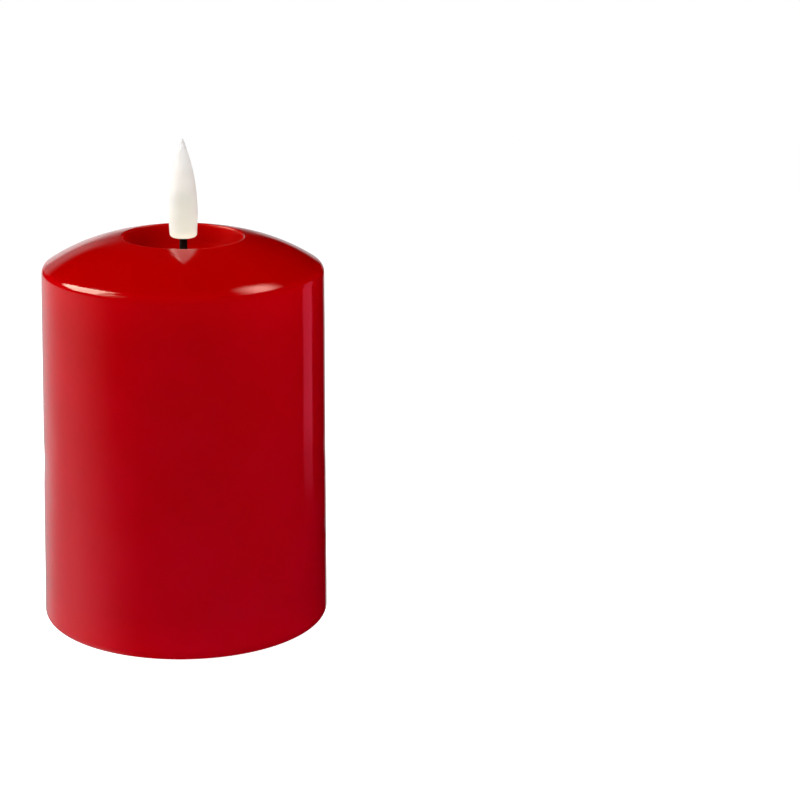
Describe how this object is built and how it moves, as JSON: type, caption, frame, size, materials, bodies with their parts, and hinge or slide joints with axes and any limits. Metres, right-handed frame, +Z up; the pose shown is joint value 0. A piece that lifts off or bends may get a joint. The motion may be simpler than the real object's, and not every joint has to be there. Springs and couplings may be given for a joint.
{
  "type": "flameless led candle",
  "caption": "Domed red wax pillar candle with a bullet-shaped LED flame on a black wick, and a base with a hinged battery door and a slide switch.",
  "frame": {"origin": "centre of the surface the feet stand on, on the candle's axis", "axes": "+Z up along the candle's axis, +Y towards the switch side, the battery door's hinge along X on the -Y side"},
  "size_m": [0.076, 0.076, 0.1288],
  "materials": {
    "wax": "coloured wax under a clear gloss lacquer",
    "flame": "frosted translucent, satin",
    "wick": "matt black",
    "base_plastic": "fine textured moulding",
    "ring_plastic": "plain moulding",
    "switch_plastic": "black moulding",
    "foot_rubber": "translucent grey soft pad",
    "screw_steel": "zinc plated",
    "contact_steel": "nickel plated spring steel",
    "battery_wrap": "printed shrink sleeve over a steel can",
    "led_epoxy": "clear epoxy",
    "lead_wire": "tinned",
    "shrink_tube": "heat shrink",
    "board_laminate": "green solder mask",
    "chip_epoxy": "moulded epoxy",
    "capacitor_sleeve": "sleeved aluminium can",
    "crystal_can": "bright drawn can",
    "wire_red": "PVC insulation",
    "wire_black": "PVC insulation"
  },
  "bodies": {
    "root": {"wax_shell": "wax", "wick_bushing": "ring_plastic", "wick_sleeve": "wick", "flame_lens": "flame", "flame_plug": "flame", "flame_led": "led_epoxy", "led_legs": "lead_wire", "solder_sleeves": "shrink_tube", "base_housing": "base_plastic", "mounting_ring": "ring_plastic", "base_screws": "screw_steel", "feet": "foot_rubber", "battery_cell_1": "battery_wrap", "battery_cell_2": "battery_wrap", "positive_contact": "contact_steel", "negative_contact": "contact_steel", "negative_spring": "contact_steel", "bridge_contact": "contact_steel", "bridge_spring": "contact_steel", "circuit_board": "board_laminate", "board_screws": "screw_steel", "switch_body": "crystal_can", "switch_pins": "lead_wire", "timer_chip": "chip_epoxy", "chip_legs": "lead_wire", "resistors": "chip_epoxy", "capacitor": "capacitor_sleeve", "clock_crystal": "crystal_can", "battery_wire_positive": "wire_red", "battery_wire_negative": "wire_black", "led_wire_positive": "wire_red", "led_wire_negative": "wire_black"},
    "battery_door": {"battery_door": "base_plastic"},
    "switch_slider": {"switch_knob": "switch_plastic", "switch_lever": "switch_plastic"}
  },
  "joints": [
    {"name": "battery_door_hinge", "type": "hinge", "parent": "root", "child": "battery_door", "pos_m": [0, -0.01465, 0.00205], "axis": [-1, 0, 0], "range_deg": [0, 95]},
    {"name": "switch_slide", "type": "slide", "parent": "root", "child": "switch_slider", "axis": [1, 0, 0], "range_m": [-0.002, 0.002]}
  ]
}
